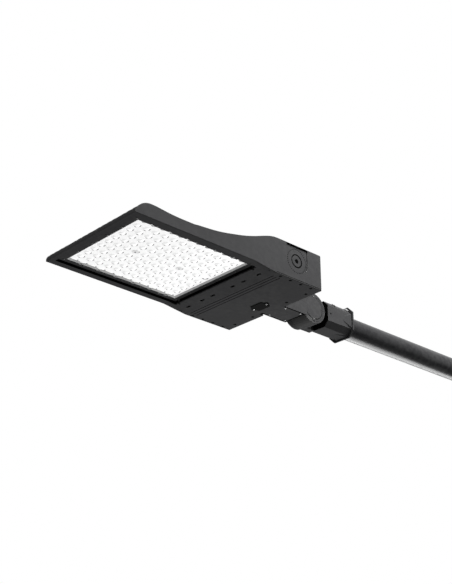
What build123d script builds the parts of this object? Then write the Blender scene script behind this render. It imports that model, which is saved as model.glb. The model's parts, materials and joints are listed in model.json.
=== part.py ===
import os
from math import sqrt

from build123d import *

# Frame: origin at the centre of the free end of the arm tube, +X out of that end,
# +Y to the far side of the head, +Z up with the light shining down. Millimetres.

# Arm tube
TUBE_DIA = 60.3
TUBE_WALL = 3.9
ARM_FREE = 489.0            # free end of the tube to the rear of the fitter
SEAT_TURN = 0.4             # turned off the radius of the end that the fitter grips
SEAT_GAP = 4.0              # rear of the fitter to the end of the turned seat

# Slip fitter
FITTER_LEN = 91.0
FITTER_SIZE = 72.0          # across the flats of the octagon
FITTER_CHAMFER = 14.5
FITTER_FRONT_WALL = 8.0
TUBE_STOP_GAP = 4.0         # tube end to the inner face of the front wall
BORE_PLAY = 5.7             # bore diameter over tube diameter
BORE_GAP = 0.3              # lowest bore line to the tube
FLANGE_SIZE = 85.2
FLANGE_CHAMFER = 17.0
FLANGE_THICK = 4.0
RAMP_LEN = 33.0
RAMP_RISE = 3.0
RAMP_APEX = 10.0
DIMPLE_FROM_FRONT = 10.7
DIMPLE_Z = 1.9
DIMPLE_DIA = 6.0
DIMPLE_DEEP = 1.2

# Clamp bolts of the fitter
SET_DIA = 8.0
SET_HEAD_FLATS = 10.0
SET_HEAD_TALL = 4.0
SET_FROM_FRONT = (28.4, 77.6)
SET_TIP_GAP = 0.3

# Knuckle
KNUCKLE_TO_FITTER = 52.0    # tilt axis to the front face of the fitter
EAR_RADIUS = 38.0
EAR_INNER_Y = 14.0
EAR_EDGE = 4.0
EAR_ROOT_RADIUS = 10.0
DRUM_RADIUS = 41.0
DRUM_NEAR_Y = -35.0
RUN_GAP = 0.3               # between faces that turn on each other
BOLT_DIA = 16.0
BOLT_FLATS = 24.0
BOLT_HEAD_TALL = 10.0
NUT_TALL = 13.0
WASHER_RADIUS = 15.0
WASHER_THICK = 3.0
BORE_RUN = 0.05             # radial running clearance of the bolt in the drum
COUNTERBORE_RADIUS = 24.0
DRUM_WEB = 28.0             # metal between the counterbore and the ear
NUT_POCKET_DEPTH = 8.0
NUT_POCKET_RADIUS = 16.0

# Cap on the knuckle
CAP_RADIUS = 29.2
CAP_FLAT = 24.0             # tilt axis to the straight edge
CAP_THICK = 3.0
CAP_SCREW_OFFSET = 30.6
CAP_EAR_RADIUS = 4.8

# Neck
NECK_LEN = 108.0            # head rear face to tilt axis
NECK_HALF = 36.0
NECK_Z = 26.7
NECK_TONGUE = 13.0
NECK_TONGUE_TOP = -18.0
NECK_FRONT_WALL = 8.0
NECK_CAVITY_LEN = 54.0
NECK_CAVITY_HALF = 25.0
NECK_CAVITY_TOP = 20.0
NECK_FAR_END = 77.0
NECK_FAR_TOP_END = 68.5
NECK_BOLT_DIA = 8.0
NECK_BOLT_Y = 30.5
NECK_BOLT_Z = (-5.5, 20.0)

# Cover under the neck
NECK_RECESS_REAR = 75.6
NECK_LIP = 1.2
NECK_GROOVE = 3.0
NECK_COVER_THICK = 3.0
NECK_GASKET_THICK = 1.5
NECK_SCREW_X = (14.3, 67.0)
NECK_SCREW_Y = 27.7

# Head outline, distances forward from the rear face
HEAD_LEN = 570.0
HEAD_WIDTH = 327.8
PLATEAU_Z = 63.0
PLATEAU_LEN = 136.0
LOW_Z = 7.1
LOW_RUN = 133.0             # front face back to the lowest point of the top line
CREST_Z = 12.4
CREST_RUN = 43.0            # front face back to the crest behind the nose
TIP_Z = -17.3
REAR_ROUND = 3.0
SKIN_NOSE = 18.0            # run of the rounded front of the skin under the fins
RIM_Z = -21.8
DEEP_Z = -30.2
SLOPE_FRONT = 221.0
SLOPE_REAR = 150.0
EDGE_CHAMFER = 1.2

# Fins, an inner group from the middle out and an outer group from the side in
FIN_THICK = 2.6
SIDE_WALL = 3.2
FIN_PITCH = 19.0
FIN_FIRST_Y = 16.1
FIN_INNER = 4
FIN_OUTER = 3
FIN_EDGE = 20.6

# Heat-sink floor and the lens opening
FLOOR_BOTTOM = -5.0
FLOOR_THICK = 3.5
OPEN_REAR = 197.0
FRONT_RIM = 12.4
SIDE_RIM = 19.1
OPEN_WALL = 6.0
SLOT_FLOOR_THICK = 5.0
VENT_REAR = 139.0
SLOT_Y = (35.4, 73.6)
SLOT_EDGE = 38.5            # outer slot to the side of the head
SLOT_X = 171.0
SLOT_LEN = 15.0
SLOT_WIDE = 5.6
DRAIN_X = 168.0
DRAIN_EDGE = 6.5
DRAIN_DIA = 4.0

# Driver box
BOX_WALL_SIDE = 4.9
BOX_WALL_REAR = 4.0
BOX_WALL_FRONT = 4.0
BOX_ROOF_Z = 30.0
BOX_ROOF_THICK = 4.0
COVER_THICK = 3.0
COVER_GASKET_THICK = 1.5
COVER_LEDGE = 15.0
COVER_SCREW_EDGE = 7.7
COVER_SCREW_X = (29.4, 63.4, 97.5, 130.9)
COVER_REAR_X = 14.3
COVER_REAR_Y = 60.0
COVER_REAR_EDGE = 38.0
COVER_BOSS_HALF = 5.0
COVER_BOSS_TALL = 15.0
COVER_BORE_DIA = 8.0
COVER_BORE_DEEP = 2.0
GROOVE_X = (125.0, 135.0, 145.0)
GROOVE_END = 15.9
GROOVE_WIDE = 1.4
GROOVE_DEEP = 1.0
NOTCH_FIT = 0.8

# Plate over the wiring opening in the driver cover
ACCESS_X = (30.5, 62.0)
ACCESS_HALF = 22.5
ACCESS_THICK = 1.4
ACCESS_GASKET = 0.6
ACCESS_OPEN_HALF = 15.0
ACCESS_OPEN_WIDE = 18.0
ACCESS_EAR_RADIUS = 6.0

# Side pivots
PIVOT_X = 80.3
PIVOT_Z = 23.7
PIVOT_RADIUS = 35.0
PIVOT_DEPTH = 2.4
PIVOT_FLOOR = 3.4
PIVOT_RIM = 4.0
PLUG_SEAT_RADIUS = 18.0
PLUG_RADIUS = 15.4
PLUG_RING_DEEP = 2.6
PLUG_LONG = 5.0
PLUG_EDGE = 1.2
PLUG_HEX = 11.0
SEAL_TALL = 3.0
SEAL_DEPTH = 2.2

# Light source
LED_PITCH_X = 26.08
LED_PITCH_Y = 25.6
LED_FIRST = 14.7            # rear edge of the clear window to the first row
LED_EDGE = 3.0              # least distance of an optic to the edge of the window
CHIP_SIZE = 3.5
CHIP_TALL = 0.9
BOARD_THICK = 1.6
BOARD_GAP = 0.5             # board to the gasket around it

# Lens and its frame
LENS_THICK = 4.0
LENS_Z = -12.3
LENS_LAP = 3.2              # lens behind the frame all round the window
LENS_FIT = 0.3
DOME_RADIUS = 8.8
DOME_TALL = 3.0
GASKET_WIDE = 3.0
FRAME_GAP = 1.8             # frame to the opening of the housing
FRAME_Z = -15.7
BAR_SIDE = 12.8
BAR_REAR = 12.3
BAR_FRONT = 19.9
WINDOW_BEVEL = 5.0
TAB_FIRST = 29.9            # rear edge of the window to the first notch
TAB_PITCH = 51.1
TAB_LEN = 9.0
TAB_DEEP = 2.8
REAR_SCREW_EDGE = 4.7
FRONT_SCREW_EDGE = 14.3
SIDE_SCREW_EDGE = 3.9       # edge of the window to the side row
SIDE_SCREWS = 7
END_SCREWS = 6
LUG_EDGE = 11.4
LUG_LONG = 6.0
LUG_WIDE = 5.0
LUG_TALL = 4.0
LUG_FIT = 0.4
BOSS_RADIUS = 7.0

# Small screws
SCREW_DIA = 3.0
SCREW_HEAD_DIA = 5.6
SCREW_HEAD_TALL = 1.6
FRAME_SCREW_DIA = 2.5
FRAME_HEAD_DIA = 4.2
FRAME_HEAD_TALL = 1.0

# Driver and wiring
DRIVER_X = (30.0, 118.0)
DRIVER_EDGE = 28.9
DRIVER_TALL = 38.0
DRIVER_EAR = 9.0
DRIVER_EAR_THICK = 3.0
SURGE_X = (70.0, 118.0)
SURGE_EDGE = 33.9
SURGE_WIDE = 48.0
DEVICE_GAP = 17.0
SURGE_TALL = 28.0
TERMINAL_X = (24.0, 52.0)
TERMINAL_EDGE = 37.9
TERMINAL_WIDE = 42.0
TERMINAL_TALL = 26.0
LEAD_DIA = 5.0
LEAD_Z = 7.5
LEAD_BEND = 7.0
SUPPLY_DIA = 8.0
SUPPLY_Z = 11.0
SUPPLY_RUN_X = 15.5
SUPPLY_END = 40.0
GROMMET_WALL = 2.6
GROMMET_LIP = 1.5

# Positions along X that follow from the lengths
FITTER_REAR = -ARM_FREE
FITTER_FRONT = FITTER_REAR - FITTER_LEN
KNUCKLE_X = FITTER_FRONT - KNUCKLE_TO_FITTER
HEAD_X = KNUCKLE_X - NECK_LEN

TUBE_R = TUBE_DIA / 2
SEAT_R = TUBE_R - SEAT_TURN
BORE_R = (TUBE_DIA + BORE_PLAY) / 2
BORE_Z = BORE_R - SEAT_R - BORE_GAP
HALF_W = HEAD_WIDTH / 2
FLOOR_TOP = FLOOR_BOTTOM + FLOOR_THICK
BOX_BOTTOM = DEEP_Z + COVER_THICK + COVER_GASKET_THICK
BOSS_TOP = BOX_BOTTOM + COVER_BOSS_TALL
BOARD_Z = FLOOR_BOTTOM - BOARD_THICK
LENS_TOP = LENS_Z + LENS_THICK

# Opening, frame, window and lens, each from the one around it
OPEN_HALF = HALF_W - SIDE_RIM
OPEN_FRONT = HEAD_LEN - FRONT_RIM
FRAME_HALF = OPEN_HALF - FRAME_GAP
FRAME_REAR = OPEN_REAR + FRAME_GAP
FRAME_FRONT = OPEN_FRONT - FRAME_GAP
WINDOW_HALF = FRAME_HALF - BAR_SIDE
WINDOW_REAR = FRAME_REAR + BAR_REAR
WINDOW_FRONT = FRAME_FRONT - BAR_FRONT
CLEAR_HALF = WINDOW_HALF - WINDOW_BEVEL
CLEAR_REAR = WINDOW_REAR + WINDOW_BEVEL
CLEAR_FRONT = WINDOW_FRONT - WINDOW_BEVEL
LENS_HALF = CLEAR_HALF + LENS_LAP
LENS_REAR = CLEAR_REAR - LENS_LAP
LENS_FRONT = CLEAR_FRONT + LENS_LAP
BOARD_INSET = GASKET_WIDE + BOARD_GAP

# Rows that follow from the room there is
FIN_Y = [FIN_FIRST_Y + i * FIN_PITCH for i in range(FIN_INNER)]
FIN_Y += [HALF_W - FIN_EDGE - i * FIN_PITCH for i in range(FIN_OUTER)]
LED_FIRST_X = CLEAR_REAR + LED_FIRST
LED_ROWS = 1 + int((CLEAR_FRONT - LED_EDGE - DOME_RADIUS - LED_FIRST_X) / LED_PITCH_X)
LED_COLS = 1 + 2 * int((CLEAR_HALF - LED_EDGE - DOME_RADIUS) / LED_PITCH_Y)
CHIP_ROWS = [LED_FIRST_X + i * LED_PITCH_X for i in range(LED_ROWS)]
CHIP_COLS = [(j - (LED_COLS - 1) / 2) * LED_PITCH_Y for j in range(LED_COLS)]
BOSS_ROWS = (CHIP_ROWS[LED_ROWS // 4], CHIP_ROWS[-4])
WIRE_ROW = CHIP_ROWS[0]
TAB_START = WINDOW_REAR + TAB_FIRST
TAB_COUNT = 1 + int((WINDOW_FRONT - TAB_LEN - TAB_START) / TAB_PITCH)
TAB_X = [TAB_START + i * TAB_PITCH for i in range(TAB_COUNT)]

# Devices on the roof of the driver box
SURGE_Y = (HALF_W - SURGE_EDGE - SURGE_WIDE, HALF_W - SURGE_EDGE)
TERMINAL_Y = (HALF_W - TERMINAL_EDGE - TERMINAL_WIDE, HALF_W - TERMINAL_EDGE)
DRIVER_Y = (DRIVER_EDGE - HALF_W, SURGE_Y[0] - DEVICE_GAP)


def hx(forward):
    return HEAD_X - forward


def block(x0, x1, y0, y1, z0, z1):
    size = (abs(x1 - x0), abs(y1 - y0), abs(z1 - z0))
    middle = ((x0 + x1) / 2, (y0 + y1) / 2, (z0 + z1) / 2)
    return Pos(*middle) * Box(*size)


def head_block(u0, u1, y0, y1, z0, z1):
    return block(hx(u0), hx(u1), y0, y1, z0, z1)


def rod(axis, radius, start, end, a, b):
    middle = (start + end) / 2
    body = Cylinder(radius, abs(end - start))
    if axis == "x":
        return Pos(middle, a, b) * Rot(0, 90, 0) * body
    if axis == "y":
        return Pos(a, middle, b) * Rot(90, 0, 0) * body
    return Pos(a, b, middle) * body


def hex_rod_y(flats, start, end, x, z):
    face = Plane.XZ * RegularPolygon(flats / 2, 6, major_radius=False)
    bar = extrude(face, amount=abs(end - start), dir=(0, 1, 0))
    return Pos(x, min(start, end), z) * bar


def prism_y(points, y0, y1):
    outline = Polyline(*[(x, y0, z) for x, z in points], close=True)
    return extrude(make_face(outline), amount=y1 - y0, dir=(0, 1, 0))


def prism_x(points, x0, x1):
    outline = Polyline(*[(x0, y, z) for y, z in points], close=True)
    return extrude(make_face(outline), amount=x1 - x0, dir=(1, 0, 0))


def octagon(size, cut, x0, x1):
    h = size / 2
    c = h - cut
    points = [(-h, -c), (-c, -h), (c, -h), (h, -c), (h, c), (c, h), (-c, h), (-h, c)]
    return Pos(0, 0, BORE_Z) * prism_x(points, x0, x1)


def arm_tube():
    start = FITTER_FRONT + FITTER_FRONT_WALL + TUBE_STOP_GAP
    edge = FITTER_REAR + SEAT_GAP
    body = rod("x", SEAT_R, start, edge, 0, 0) + rod("x", TUBE_R, edge, 0, 0, 0)
    return body - rod("x", TUBE_R - TUBE_WALL, start - 1, 1, 0, 0)


def ramp():
    wide = FITTER_SIZE - 2 * FITTER_CHAMFER
    x0 = FITTER_REAR - FLANGE_THICK - RAMP_LEN
    x1 = FITTER_REAR - FLANGE_THICK
    z = FITTER_SIZE / 2
    a = RAMP_APEX / 2
    b = wide / 2
    low = [(x0, -a, z), (x0, a, z), (x1, b, z), (x1, -b, z)]
    high = [(x1, b - RAMP_RISE, z + RAMP_RISE), (x1, RAMP_RISE - b, z + RAMP_RISE)]
    faces = [
        low,
        [low[0], low[1], high[0], high[1]],
        [low[1], low[2], high[0]],
        [low[0], low[3], high[1]],
        [low[2], low[3], high[1], high[0]],
    ]
    return Solid(Shell([Face(Wire.make_polygon(points)) for points in faces]))


def set_bolt(x, side):
    reach = FITTER_SIZE / sqrt(2) - FITTER_CHAMFER / sqrt(2)
    half = BORE_Z / sqrt(2)
    tube = SEAT_R + SET_TIP_GAP
    tip = sqrt(tube**2 - half**2) - half
    shank = Pos(0, 0, (tip + reach) / 2) * Cylinder(SET_DIA / 2, reach - tip)
    head = extrude(RegularPolygon(SET_HEAD_FLATS / 2, 6, major_radius=False), SET_HEAD_TALL)
    bolt = shank + Pos(0, 0, reach) * head
    return Pos(x, 0, BORE_Z) * Rot(-45 * side, 0, 0) * bolt


def set_hole(x, side):
    hole = Pos(0, 0, FITTER_SIZE / 2) * Cylinder(SET_DIA / 2, FITTER_SIZE)
    return Pos(x, 0, BORE_Z) * Rot(-45 * side, 0, 0) * hole


def set_places():
    return [(FITTER_FRONT + d, side) for d in SET_FROM_FRONT for side in (-1, 1)]


def ear():
    y0 = EAR_INNER_Y
    y1 = FITTER_SIZE / 2
    low = BORE_Z - FITTER_SIZE / 2
    high = BORE_Z + FITTER_SIZE / 2
    disc = rod("y", EAR_RADIUS, y0, y1, KNUCKLE_X, 0)
    arm = block(KNUCKLE_X, FITTER_FRONT, y0, y1, low, EAR_RADIUS)
    body = disc + arm
    rim = body.faces().sort_by(Axis.Y)[-1].edges()
    rim = [e for e in rim if e.center().X < FITTER_FRONT - 1]
    body = chamfer(rim, EAR_EDGE)
    r = EAR_ROOT_RADIUS
    web = block(FITTER_FRONT - r, FITTER_FRONT, y0 - r, y0, low + r, high - r)
    web -= rod("z", r, low, high, FITTER_FRONT - r, y0 - r)
    return body + web


def slip_fitter():
    rear = FITTER_REAR - FLANGE_THICK
    body = octagon(FITTER_SIZE, FITTER_CHAMFER, FITTER_FRONT, rear)
    body += octagon(FLANGE_SIZE, FLANGE_CHAMFER, rear, FITTER_REAR)
    for turn in range(4):
        body += Pos(0, 0, BORE_Z) * Rot(90 * turn, 0, 0) * ramp()
    body += ear()
    body -= rod("x", BORE_R, FITTER_FRONT + FITTER_FRONT_WALL, FITTER_REAR + 1, 0, BORE_Z)
    for x, side in set_places():
        body -= set_hole(x, side)
    outer = FITTER_SIZE / 2
    body -= rod("y", BOLT_DIA / 2, EAR_INNER_Y - 1, outer + 1, KNUCKLE_X, 0)
    pocket = outer - NUT_POCKET_DEPTH
    body -= rod("y", NUT_POCKET_RADIUS, pocket, outer + 1, KNUCKLE_X, 0)
    dimple_x = FITTER_FRONT + DIMPLE_FROM_FRONT
    body -= rod("y", DIMPLE_DIA / 2, -outer - 1, DIMPLE_DEEP - outer, dimple_x, DIMPLE_Z)
    return body


def drum_floor_y():
    return EAR_INNER_Y - RUN_GAP - DRUM_WEB


def knuckle_bolt():
    seat = drum_floor_y() - RUN_GAP - WASHER_THICK
    end = FITTER_SIZE / 2 - NUT_POCKET_DEPTH + WASHER_THICK + NUT_TALL + 2
    head = hex_rod_y(BOLT_FLATS, seat - BOLT_HEAD_TALL, seat, KNUCKLE_X, 0)
    return head + rod("y", BOLT_DIA / 2, seat, end, KNUCKLE_X, 0)


def knuckle_washers():
    seat = drum_floor_y() - RUN_GAP
    pocket = FITTER_SIZE / 2 - NUT_POCKET_DEPTH
    starts = (seat - WASHER_THICK, pocket)
    rings = []
    for y in starts:
        ring = rod("y", WASHER_RADIUS, y, y + WASHER_THICK, KNUCKLE_X, 0)
        ring -= rod("y", BOLT_DIA / 2, y - 1, y + WASHER_THICK + 1, KNUCKLE_X, 0)
        rings.append(ring)
    return rings


def knuckle_nut():
    y = FITTER_SIZE / 2 - NUT_POCKET_DEPTH + WASHER_THICK
    nut = hex_rod_y(BOLT_FLATS, y, y + NUT_TALL, KNUCKLE_X, 0)
    return nut - rod("y", BOLT_DIA / 2, y - 1, y + NUT_TALL + 1, KNUCKLE_X, 0)


def profile_face():
    low = HEAD_LEN - LOW_RUN
    crest = HEAD_LEN - CREST_RUN
    run = low - PLATEAU_LEN
    drop = PLATEAU_Z - LOW_Z
    rise = CREST_Z - LOW_Z
    slope = (
        (0.08, 0.975),
        (0.146, 0.884),
        (0.259, 0.66),
        (0.387, 0.442),
        (0.512, 0.284),
        (0.694, 0.109),
        (0.87, 0.02),
    )
    down = [(hx(PLATEAU_LEN), PLATEAU_Z)]
    down += [(hx(PLATEAU_LEN + run * a), LOW_Z + drop * b) for a, b in slope]
    down += [(hx(low), LOW_Z)]
    up = [(hx(low), LOW_Z), (hx((low + crest) / 2), LOW_Z + 0.36 * rise), (hx(crest), CREST_Z)]
    fall = CREST_Z - TIP_Z
    radius = (CREST_RUN**2 + fall**2) / (2 * fall)
    half = CREST_RUN / 2
    middle = (hx(crest + half), CREST_Z - radius + sqrt(radius**2 - half**2))
    r = REAR_ROUND
    edge = r - r / sqrt(2)
    bottom = TIP_Z - 0.1
    with BuildSketch(Plane.XY) as sketch:
        with BuildLine():
            Line((hx(0), bottom), (hx(0), PLATEAU_Z - r))
            ThreePointArc((hx(0), PLATEAU_Z - r), (hx(edge), PLATEAU_Z - edge), (hx(r), PLATEAU_Z))
            Line((hx(r), PLATEAU_Z), down[0])
            Spline(*down, tangents=[(-1, 0), (-1, 0)])
            Spline(*up, tangents=[(-1, 0), (-1, 0)])
            ThreePointArc((hx(crest), CREST_Z), middle, (hx(HEAD_LEN), TIP_Z))
            Polyline((hx(HEAD_LEN), TIP_Z), (hx(HEAD_LEN), bottom), (hx(0), bottom))
        make_face()
    return sketch.sketch


def head_wall(y0, y1):
    solid = extrude(profile_face(), amount=y1 - y0)
    return Pos(0, y1, 0) * Rot(90, 0, 0) * solid


def skin_face(points):
    rise = FLOOR_TOP - TIP_Z
    start = HEAD_LEN - SKIN_NOSE
    middle = (hx(start + SKIN_NOSE / sqrt(2)), TIP_Z + rise / sqrt(2))
    with BuildSketch(Plane.XY) as sketch:
        with BuildLine():
            ThreePointArc((hx(start), FLOOR_TOP), middle, (hx(HEAD_LEN), TIP_Z))
            Polyline((hx(HEAD_LEN), TIP_Z), *[(hx(u), z) for u, z in points], (hx(start), FLOOR_TOP))
        make_face()
    return sketch.sketch


def skin_slab(points, y0, y1):
    return Pos(0, y1, 0) * Rot(90, 0, 0) * extrude(skin_face(points), amount=y1 - y0)


def rim_side(side):
    points = [
        (HEAD_LEN, RIM_Z),
        (SLOPE_FRONT, RIM_Z),
        (SLOPE_REAR, DEEP_Z),
        (SLOPE_REAR, BOX_BOTTOM),
        (VENT_REAR, BOX_BOTTOM),
        (VENT_REAR, FLOOR_TOP),
    ]
    y0, y1 = sorted((side * OPEN_HALF, side * HALF_W))
    slab = skin_slab(points, y0, y1)
    edges = [
        e for e in slab.edges()
        if abs(e.center().Y - side * HALF_W) < 0.01
        and e.center().Z < RIM_Z + 0.01
        and e.center().X < hx(SLOPE_REAR) - EDGE_CHAMFER
    ]
    return chamfer(edges, EDGE_CHAMFER)


def slot_floor():
    slope = (RIM_Z - DEEP_Z) / (SLOPE_FRONT - SLOPE_REAR)
    front = DEEP_Z + slope * (OPEN_REAR - SLOPE_REAR)
    points = [
        (hx(SLOPE_REAR), DEEP_Z),
        (hx(OPEN_REAR), front),
        (hx(OPEN_REAR), front + SLOT_FLOOR_THICK),
        (hx(SLOPE_REAR), DEEP_Z + SLOT_FLOOR_THICK + COVER_THICK),
    ]
    floor = prism_y(points, -OPEN_HALF, OPEN_HALF)
    for y in SLOT_Y + (HALF_W - SLOT_EDGE,):
        for side in (-1, 1):
            slot = extrude(SlotOverall(SLOT_LEN, SLOT_WIDE), 30)
            floor -= Pos(hx(SLOT_X), side * y, DEEP_Z - 5) * Rot(0, 0, 90) * slot
    return floor


def pivot_shape(radius, y0, y1):
    disc = rod("y", radius, y0, y1, hx(PIVOT_X), PIVOT_Z)
    upper = head_block(PIVOT_X - radius, PIVOT_X + radius, y0, y1, PIVOT_Z, PLATEAU_Z)
    return disc + upper


def cover_boss_places():
    edge = HALF_W - COVER_SCREW_EDGE
    sides = [(u, side * edge) for u in COVER_SCREW_X for side in (-1, 1)]
    outer = HALF_W - COVER_REAR_EDGE
    rear = [(COVER_REAR_X, side * y) for y in (COVER_REAR_Y, outer) for side in (-1, 1)]
    return sides, rear


def frame_screw_places():
    row = WINDOW_HALF + SIDE_SCREW_EDGE
    rear = FRAME_REAR + REAR_SCREW_EDGE
    front = FRAME_FRONT - FRONT_SCREW_EDGE
    step_x = (front - rear) / (SIDE_SCREWS - 1)
    step_y = 2 * row / (END_SCREWS - 1)
    ends = [(u, j * step_y - row) for u in (rear, front) for j in range(END_SCREWS)]
    sides = [(rear + i * step_x, side * row) for i in range(1, SIDE_SCREWS - 1) for side in (-1, 1)]
    return ends + sides


def lug_blocks(gap):
    blocks = []
    reach = LUG_WIDE / 2 + gap
    for side in (-1, 1):
        y = side * (FRAME_HALF - LUG_EDGE)
        low = FRAME_Z if gap == 0 else DEEP_Z
        high = FRAME_Z + LUG_TALL + gap
        rear = FRAME_REAR - LUG_LONG - gap
        blocks.append(head_block(rear, FRAME_REAR, y - reach, y + reach, low, high))
    return blocks


def neck_bolt_places():
    return [(side * NECK_BOLT_Y, z) for z in NECK_BOLT_Z for side in (-1, 1)]


def driver_ear_places():
    inset = DRIVER_EAR / 2
    us = (DRIVER_X[0] + 14, DRIVER_X[1] - 14)
    ys = (DRIVER_Y[0] - inset, DRIVER_Y[1] + inset)
    return [(u, y) for u in us for y in ys]


def screw_hole(u, y, dia, z0, z1):
    return rod("z", dia / 2, z0, z1, hx(u), y)


def housing():
    base = skin_slab(
        [
            (HEAD_LEN, RIM_Z),
            (OPEN_FRONT, RIM_Z),
            (OPEN_FRONT, FLOOR_BOTTOM),
            (VENT_REAR, FLOOR_BOTTOM),
            (VENT_REAR, FLOOR_TOP),
        ],
        -OPEN_HALF,
        OPEN_HALF,
    )
    for y in FIN_Y:
        for side in (-1, 1):
            middle = side * y
            base += head_wall(middle - FIN_THICK / 2, middle + FIN_THICK / 2)
    for side in (-1, 1):
        y0, y1 = sorted((side * (HALF_W - SIDE_WALL), side * HALF_W))
        base += head_wall(y0, y1)
    wall_rear = OPEN_REAR - OPEN_WALL
    half = OPEN_HALF
    base -= head_block(OPEN_REAR, OPEN_FRONT, -half, half, DEEP_Z, FLOOR_BOTTOM)
    base -= head_block(VENT_REAR, wall_rear, -half, half, DEEP_Z, FLOOR_TOP)
    body = base + rim_side(-1) + rim_side(1) + slot_floor()
    body += head_block(wall_rear, OPEN_REAR, -half, half, RIM_Z, FLOOR_TOP)
    roof = BOX_ROOF_Z + BOX_ROOF_THICK
    body += head_block(0, VENT_REAR, -HALF_W, HALF_W, BOX_BOTTOM, roof)
    side_inner = HALF_W - BOX_WALL_SIDE
    front_inner = VENT_REAR - BOX_WALL_FRONT
    body -= head_block(BOX_WALL_REAR, front_inner, -side_inner, side_inner, BOX_BOTTOM - 1, BOX_ROOF_Z)
    body -= lug_blocks(LUG_FIT)
    ledge_rear = SLOPE_REAR - COVER_LEDGE
    body += head_block(ledge_rear, SLOPE_REAR, -side_inner, side_inner, BOX_BOTTOM, BOX_BOTTOM + 5)
    pad_in = HALF_W - PIVOT_DEPTH - PIVOT_FLOOR
    for side in (-1, 1):
        y0, y1 = sorted((side * pad_in, side * HALF_W))
        body += pivot_shape(PIVOT_RADIUS + PIVOT_RIM, y0, y1)
        y0, y1 = sorted((side * (HALF_W - PIVOT_DEPTH), side * (HALF_W + 1)))
        body -= pivot_shape(PIVOT_RADIUS, y0, y1)
        y0, y1 = sorted((side * (HALF_W - PIVOT_DEPTH - PLUG_LONG), side * HALF_W))
        body -= rod("y", PLUG_SEAT_RADIUS, y0, y1, hx(PIVOT_X), PIVOT_Z)
    sides, rear = cover_boss_places()
    b = COVER_BOSS_HALF
    for u, y in sides:
        side = 1 if y > 0 else -1
        y0, y1 = sorted((y - side * b, side * side_inner))
        body += head_block(u - b, u + b, y0, y1, BOX_BOTTOM, BOSS_TOP)
    for u, y in rear:
        body += head_block(BOX_WALL_REAR, u + b, y - b, y + b, BOX_BOTTOM, BOSS_TOP)
    body += head_block(0, NECK_TONGUE + 6, -NECK_HALF - 6, NECK_HALF + 6, BOX_BOTTOM, NECK_TONGUE_TOP + 5)
    notch = NECK_HALF + NOTCH_FIT
    body -= head_block(-1, NECK_TONGUE + NOTCH_FIT, -notch, notch, DEEP_Z, NECK_TONGUE_TOP + NOTCH_FIT)
    for u, y in sides + rear:
        body -= screw_hole(u, y, SCREW_DIA, BOX_BOTTOM - 5, BOSS_TOP - 3)
    for u, y in frame_screw_places():
        body -= screw_hole(u, y, FRAME_SCREW_DIA, FLOOR_BOTTOM - 5, FLOOR_TOP - 0.8)
    for u in BOSS_ROWS:
        body -= screw_hole(u, 0, SCREW_DIA, FLOOR_BOTTOM - 5, FLOOR_TOP - 0.8)
    for side in (-1, 1):
        y = side * (HALF_W - DRAIN_EDGE)
        body -= screw_hole(DRAIN_X, y, DRAIN_DIA, DEEP_Z - 1, FLOOR_BOTTOM - 6)
    for y, z in neck_bolt_places():
        body -= rod("x", NECK_BOLT_DIA / 2, hx(BOX_WALL_REAR + 1), hx(-1), y, z)
    for u, y in driver_ear_places():
        body -= screw_hole(u, y, SCREW_DIA, BOX_ROOF_Z - 1, BOX_ROOF_Z + 3)
    body -= rod("x", SUPPLY_DIA / 2 + GROMMET_WALL, hx(BOX_WALL_REAR + 1), hx(-1), 0, SUPPLY_Z)
    body -= rod("x", LEAD_DIA / 2 + GROMMET_WALL, hx(VENT_REAR + 1), hx(front_inner - 1), 0, LEAD_Z)
    body -= screw_hole(WIRE_ROW, 0, LEAD_DIA + 2 * GROMMET_WALL, FLOOR_BOTTOM - 1, FLOOR_TOP + 1)
    return body


def led_board():
    rear = LENS_REAR + BOARD_INSET
    front = LENS_FRONT - BOARD_INSET
    half = LENS_HALF - BOARD_INSET
    board = head_block(rear, front, -half, half, BOARD_Z, FLOOR_BOTTOM)
    for u in BOSS_ROWS:
        board -= screw_hole(u, 0, SCREW_DIA, BOARD_Z - 1, FLOOR_BOTTOM + 1)
    return board - screw_hole(WIRE_ROW, 0, LEAD_DIA, BOARD_Z - 1, FLOOR_BOTTOM + 1)


def led_places():
    skip = [(u, 0.0) for u in BOSS_ROWS + (WIRE_ROW,)]
    return [(u, y) for u in CHIP_ROWS for y in CHIP_COLS if (u, y) not in skip]


def led_chips():
    h = CHIP_SIZE / 2
    return [
        head_block(u - h, u + h, y - h, y + h, BOARD_Z - CHIP_TALL, BOARD_Z)
        for u, y in led_places()
    ]


def dome():
    r = (DOME_RADIUS**2 + DOME_TALL**2) / (2 * DOME_TALL)
    ball = Pos(0, 0, LENS_Z - DOME_TALL + r) * Sphere(r)
    tall = DOME_TALL + 1.5
    return ball & Pos(0, 0, LENS_Z + 0.5 - tall / 2) * Cylinder(DOME_RADIUS + 1, tall)


def lens_plate():
    plate = head_block(LENS_REAR, LENS_FRONT, -LENS_HALF, LENS_HALF, LENS_Z, LENS_TOP)
    cap = dome()
    for u in BOSS_ROWS:
        plate += Pos(hx(u), 0, LENS_Z - 0.6) * Cylinder(BOSS_RADIUS, 1.2)
        plate -= screw_hole(u, 0, SCREW_DIA, LENS_Z - 3, LENS_TOP + 1)
    return plate + [Pos(hx(u), y, 0) * cap for u, y in led_places()]


def ring(u0, u1, half, width, z0, z1):
    inner = head_block(u0 + width, u1 - width, width - half, half - width, z0 - 1, z1 + 1)
    return head_block(u0, u1, -half, half, z0, z1) - inner


def lens_gasket():
    return ring(LENS_REAR, LENS_FRONT, LENS_HALF, GASKET_WIDE, LENS_TOP, FLOOR_BOTTOM)


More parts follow.
